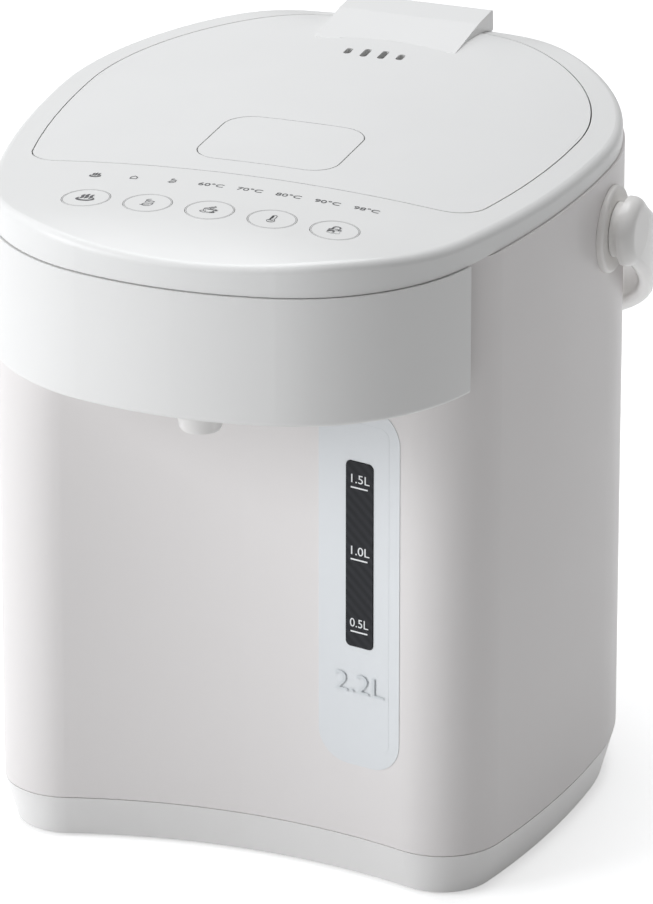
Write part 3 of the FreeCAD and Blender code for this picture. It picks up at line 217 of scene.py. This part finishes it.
# Handle, its seats and the nozzle: warm white plastic, the handle a little smoother from use.
handle_plastic = moulded("handle_white_plastic", (0.90, 0.885, 0.865), 0.30)
handle_plastic.on("handle")
seat_plastic = moulded("seat_white_plastic", (0.89, 0.87, 0.845), 0.38)
seat_plastic.on("handle_flanges")
nozzle_plastic = moulded("nozzle_white_plastic", (0.84, 0.825, 0.81), 0.30)
nozzle_plastic.on("spout_nozzle")

# Keys: five round caps in the deck's plastic, each with a fine grey ring printed near its edge.
key_count = 5
ring_radius = 0.00815
ring_half_line = 0.00014
ring_grey = (0.30, 0.30, 0.30, 1)


def printed_key(number):
    """The deck's plastic with a printed ring about this key's own middle."""
    finish = moulded("key_%d_plastic" % number, (0.850, 0.848, 0.838), 0.34)
    low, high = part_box("key_%d" % number)
    middle_x = (low[0] + high[0]) / 2
    middle_y = (low[1] + high[1]) / 2
    off_x = finish.xyz("X") - middle_x
    off_y = finish.xyz("Y") - middle_y
    radius = (off_x * off_x + off_y * off_y) ** 0.5
    line = abs(radius - ring_radius) < ring_half_line
    base = finish.surface.inputs["Base Color"].links[0].from_socket
    finish.set("Base Color", finish.mix(Amount(finish, base), ring_grey, line * 0.85))
    finish.on("key_%d" % number)


for number in range(1, key_count + 1):
    printed_key(number)

# Printing on the deck and keys: grey pad-printed figures and signs, a few hundredths thick, laid
# on the crowned skin. The crown is a wide arch across that rolls down towards the front.
print_ink = Finish("grey_print_ink", (0.135, 0.135, 0.14), 0.5)
print_ink.set("Base Color", print_ink.mix((0.12, 0.12, 0.125, 1), (0.16, 0.16, 0.165, 1),
                                          print_ink.noise(2500.0)))
crown_top = 0.2593
arch_radius = 0.694
roll_radius = 0.107
roll_start_y = -0.128
ink_half = 0.00003
ink_lift = 0.00007
label_y = pot_axis_y - 0.1008
label_start_x = -0.0510
label_pitch = 0.0143
label_width = 0.0092
signs = ["♨", "⌂", "\U0001F343", "60°C", "70°C", "80°C", "90°C", "98°C"]
key_signs = ["♨", "\U0001F343", "☕", "\U0001F321", "\U0001F513"]


def deck_height(x, y):
    arch = arch_radius - math.sqrt(arch_radius ** 2 - x ** 2)
    past = max(0.0, roll_start_y - (y - pot_axis_y))
    roll = roll_radius - math.sqrt(roll_radius ** 2 - past ** 2)
    return crown_top - (arch ** 2.5 + roll ** 2.5) ** 0.4


def lettering(words, name, size, width=None):
    """Flat lettering about its own middle, drawn in or out to a width where one is given."""
    bpy.ops.object.select_all(action="DESELECT")
    bpy.ops.object.text_add(location=(0, 0, 0))
    piece = bpy.context.object
    piece.name = name
    piece.data.body = words
    piece.data.size = size
    piece.data.align_x = "CENTER"
    piece.data.align_y = "CENTER"
    piece.data.extrude = ink_half
    bpy.ops.object.convert(target="MESH")
    if width:
        piece.scale = (width / piece.dimensions.x, 1, 1)
    bpy.ops.object.transform_apply(location=False, rotation=False, scale=True)
    return piece


def printed(words, name, size, x, y, width=None):
    """Lettering or a sign as a thin layer of ink that follows the crown."""
    piece = lettering(words, name, size, width)
    piece.location = (x, y, 0)
    bpy.ops.object.transform_apply(location=True, rotation=True, scale=True)
    for vertex in piece.data.vertices:
        vertex.co.z += deck_height(vertex.co.x, vertex.co.y) + ink_lift
    print_ink.on(piece)
    return piece


for i, words in enumerate(signs):
    x = label_start_x + label_pitch * i
    if len(words) < 3:
        piece = printed(words, "indicator_sign_%d" % (i + 1), 0.0042, x, label_y)
    else:
        piece = printed(words, "indicator_label_%d" % (i + 1), 0.0037, x, label_y, width=label_width)
    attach(piece, "housing")

for number, words in enumerate(key_signs, 1):
    low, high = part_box("key_%d" % number)
    middle_x = (low[0] + high[0]) / 2
    middle_y = (low[1] + high[1]) / 2
    piece = printed(words, "key_sign_%d" % number, 0.0066, middle_x, middle_y)
    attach(piece, "key_%d" % number)

# Water gauge: a moulded bezel plate with a cool lacquered face, and a dark window with white
# print. The window's face is a plane that stands square to the hollow front where it sits.
bezel_lacquer = Finish("bezel_cool_lacquer", (0.77, 0.79, 0.81), 0.18, coat=0.4)
bezel_lacquer.set("Base Color", bezel_lacquer.mix((0.755, 0.778, 0.795, 1), (0.785, 0.808, 0.83, 1),
                                                  bezel_lacquer.noise(14.0, 2.0)))
bezel_lacquer.set("Roughness", 0.13 + 0.06 * bezel_lacquer.noise(80.0, 3.0))
bezel_lacquer.on("gauge_plate")
window_glass = Finish("dark_window_plastic", (0.022, 0.023, 0.027), 0.22, ior=1.25)
# Slanted lighter and darker stripes in the window's colour: painted sheen standing in for light catching
# the window's fine ribs, not a colour the plastic has.
slant = window_glass.xyz("Z") * 1.0 + window_glass.xyz("X") * 0.9
rib_sheen_stripes = window_glass.node("ShaderNodeMath", {"operation": "SINE"}, {0: slant * 1500.0})
window_glass.set("Base Color", window_glass.mix((0.017, 0.018, 0.021, 1), (0.027, 0.028, 0.032, 1),
                                                rib_sheen_stripes * 0.5 + 0.5))
window_glass.set("Roughness", 0.20 + 0.08 * window_glass.noise(300.0))
window_glass.on("gauge_window")
gauge_low, gauge_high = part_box("gauge_window")
gauge_x = (gauge_low[0] + gauge_high[0]) / 2
front_hollow_radius = 0.216
turn = math.asin(gauge_x / front_hollow_radius)
gauge_right = Vector((math.cos(turn), -math.sin(turn), 0))
gauge_out = Vector((-math.sin(turn), -math.cos(turn), 0))
gauge_up = Vector((0, 0, 1))
gauge_facing = Matrix((gauge_right, gauge_up, gauge_out)).transposed().to_4x4()
gauge_along = ((Vector(gauge_low) + Vector(gauge_high)) / 2).dot(gauge_right)
white_ink = Finish("white_print_ink", (0.86, 0.87, 0.88), 0.45)
white_ink.set("Base Color", white_ink.mix((0.84, 0.85, 0.86, 1), (0.90, 0.91, 0.92, 1),
                                          white_ink.noise(3000.0)))
pale_ink = Finish("pale_print_ink", (0.70, 0.73, 0.75), 0.35)
pale_ink.set("Base Color", pale_ink.mix((0.66, 0.69, 0.71, 1), (0.71, 0.74, 0.76, 1),
                                        pale_ink.noise(3000.0)))


def gauge_point(node, along, height, lift):
    """A point on the front of a gauge piece, from its distance along the front and its height."""
    reach = max(vertex.co.dot(gauge_out) for vertex in nodes[node].data.vertices)
    return gauge_out * (reach + lift) + gauge_right * along + gauge_up * height


def on_gauge(piece, along, height, ink, node):
    """Stand a flat piece of print on the front of a gauge piece and put its ink on."""
    piece.matrix_world = Matrix.Translation(gauge_point(node, along, height, ink_half)) @ gauge_facing
    bpy.ops.object.transform_apply(location=True, rotation=True, scale=True)
    ink.on(piece)
    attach(piece, "housing")


mark_heights = {"0.5": 0.0980, "1.0": 0.1257, "1.5": 0.1531}
mark_size = 0.0046
mark_width = 0.0076
mark_rise = 0.0032
line_size = (0.0070, 0.00055, 0.00006)
for litres, height in mark_heights.items():
    words = lettering(litres + "L", "gauge_mark_" + litres.replace(".", "_"), mark_size, mark_width)
    on_gauge(words, gauge_along, height + mark_rise, white_ink, "gauge_window")
    bpy.ops.object.select_all(action="DESELECT")
    bpy.ops.mesh.primitive_cube_add(size=1, location=(0, 0, 0))
    line = bpy.context.object
    line.name = "gauge_line_" + litres.replace(".", "_")
    line.scale = line_size
    bpy.ops.object.transform_apply(location=False, rotation=False, scale=True)
    on_gauge(line, gauge_along, height, white_ink, "gauge_window")
capacity_size = 0.0105
capacity_width = 0.0205
capacity_height = 0.0775
capacity = lettering("2.2L", "capacity_figure", capacity_size, capacity_width)
on_gauge(capacity, gauge_along, capacity_height, pale_ink, "gauge_plate")


# Steel pieces: drawn and brushed stainless for the pot and the inner lid, bright pins and screws,
# mill-finish sheet for the shield, cast aluminium for the heating plate.
def brushed(name, colour, roughness, x, y, z, depth=0.00002):
    finish = Finish(name, colour, roughness, metallic=1.0)
    lines = finish.noise(1.0, 3.0, 0.6, finish.stretched(x, y, z))
    finish.set("Roughness", roughness - 0.06 + 0.14 * lines)
    finish.bump(lines, depth, 0.3)
    return finish


brushed("brushed_pot_steel", (0.66, 0.66, 0.665), 0.24, 60, 60, 5200).on("inner_pot", "lid_liner")
brushed("bright_pin_steel", (0.70, 0.70, 0.71), 0.20, 3000, 60, 60).on(
    "lid_hinge_pin", "release_pin", "handle_pins", "thermistor", "motor")
brushed("zinc_screw_steel", (0.62, 0.62, 0.60), 0.34, 900, 900, 900).on(
    "base_screws", "pump_screws", "lid_screws", "board_screws")
brushed("spring_steel", (0.60, 0.60, 0.61), 0.28, 900, 900, 9000).on("release_spring", "latch_spring")
brushed("mill_sheet", (0.62, 0.62, 0.61), 0.38, 30, 30, 2600).on(
    "heat_shield", "heater_support", "pump_bracket", "band_heater")
brushed("cast_plate", (0.55, 0.55, 0.55), 0.55, 900, 900, 900, 0.0001).on("heater_plate")
brushed("ball_steel", (0.78, 0.78, 0.78), 0.08, 200, 200, 200).on("valve_ball")
brushed("brass_contact", (0.78, 0.58, 0.28), 0.25, 900, 3000, 900).on("inlet_contacts")

# Silicone and rubber pieces, and the plastics inside: hoses, seals, pump, switches, boards.
moulded("milky_silicone", (0.74, 0.73, 0.70), 0.55, grain=900.0).on(
    "pot_seal", "lid_gasket", "suction_hose", "gauge_elbows", "outlet_hose")
moulded("inside_white_plastic", (0.80, 0.80, 0.78), 0.42).on(
    "pump_housing", "pump_cover", "impeller", "outlet_pipe", "steam_duct", "latch_slide")
moulded("black_technical_plastic", (0.035, 0.035, 0.037), 0.45).on(
    "thermostat", "motor_rotor", "key_switches", "inlet_socket")
moulded("board_green", (0.03, 0.16, 0.07), 0.38, coat=0.3).on("control_board", "power_board")
clear = Finish("clear_tube_glass", (0.86, 0.91, 0.93), 0.05, alpha=0.35)
clear.set("Roughness", 0.04 + 0.04 * clear.noise(120.0))
clear.on("gauge_tube", "light_guide")

# Floor and light: a pale floor that reads as white, a broad soft window light from the front left
# and above, and an even fill all round.
bpy.ops.object.select_all(action="DESELECT")
bpy.ops.mesh.primitive_plane_add(size=8, location=(0, 0, 0))
floor = bpy.context.object
floor.name = "pale_floor"
floor_paper = Finish("floor_paper", (0.80, 0.80, 0.80), 0.9)
camera_ray = floor_paper.node("ShaderNodeLightPath", {}, {}, "Is Camera Ray")
glossy_ray = floor_paper.node("ShaderNodeLightPath", {}, {}, "Is Glossy Ray")
clear_ray = floor_paper.node("ShaderNodeLightPath", {}, {}, "Is Transmission Ray")
seen = camera_ray.maths("MAXIMUM", glossy_ray).maths("MAXIMUM", clear_ray)
glow = floor_paper.node("ShaderNodeEmission", {}, {"Strength": seen * 0.55})
paper = Amount(floor_paper, floor_paper.surface.outputs[0])
both = floor_paper.node("ShaderNodeAddShader", {}, {0: paper, 1: glow})
floor_paper.tree.links.new(both.socket, floor_paper.tree.nodes["Material Output"].inputs["Surface"])
floor_paper.on(floor)

world = bpy.data.worlds.new("studio")
bpy.context.scene.world = world
world.use_nodes = True
sky = world.node_tree.nodes["Background"]
sky.inputs["Color"].default_value = (1, 1, 1, 1)
path = world.node_tree.nodes.new("ShaderNodeLightPath")
level = world.node_tree.nodes.new("ShaderNodeMath")
level.operation = "MULTIPLY_ADD"
fill = 0.21
level.inputs[1].default_value = 1.0 - fill
level.inputs[2].default_value = fill
world.node_tree.links.new(path.outputs["Is Camera Ray"], level.inputs[0])
world.node_tree.links.new(level.outputs[0], sky.inputs["Strength"])


daylight = (0.965, 0.98, 1.0)
pot_middle = Vector((0, 0, 0.13))


def soft_light(name, place, size, power):
    bpy.ops.object.light_add(type="AREA", location=place)
    lamp = bpy.context.object
    lamp.name = name
    lamp.data.shape = "SQUARE"
    lamp.data.size = size
    lamp.data.energy = power
    lamp.data.color = daylight
    lamp.rotation_euler = (pot_middle - Vector(place)).to_track_quat("-Z", "Y").to_euler()


soft_light("window_light", (-1.8, -1.5, 1.0), 1.4, 40)
soft_light("top_light", (-0.2, 0.4, 2.4), 1.6, 37)
